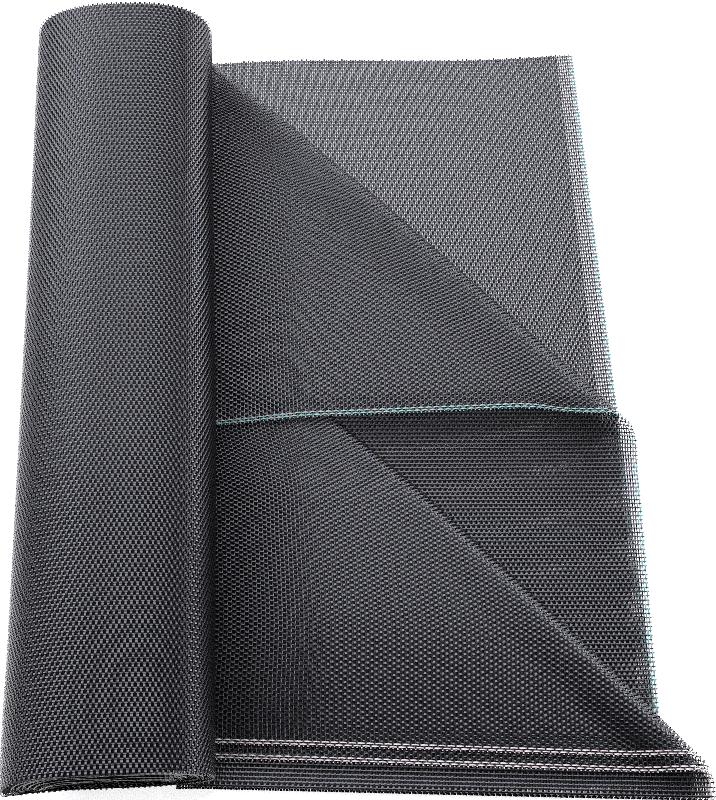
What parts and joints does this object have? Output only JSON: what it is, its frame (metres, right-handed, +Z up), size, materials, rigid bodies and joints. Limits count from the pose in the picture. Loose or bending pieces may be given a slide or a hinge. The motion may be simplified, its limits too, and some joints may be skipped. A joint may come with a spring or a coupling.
{
  "type": "vinyl mesh fabric",
  "caption": "Length of coated open-weave mesh cloth, part rolled, with its loose end lying flat in plies beside the roll and its corners turned back along slanting folds.",
  "frame": {"origin": "middle of the bounding box, on the ground that the cloth lies on", "axes": "+Y along the roll, from its near end to its far end; +X across, from the roll towards the loose plies; +Z up"},
  "size_m": [0.354, 0.471, 0.0677],
  "materials": {
    "mesh_cloth": "charcoal coated yarn, satin",
    "aqua_selvedge": "pale aqua coated yarn, satin",
    "pink_selvedge": "pale pink coated yarn, satin"
  },
  "bodies": {
    "root": {"roll": "mesh_cloth", "lower_plies": "mesh_cloth", "upper_plies": "mesh_cloth"}
  },
  "joints": []
}
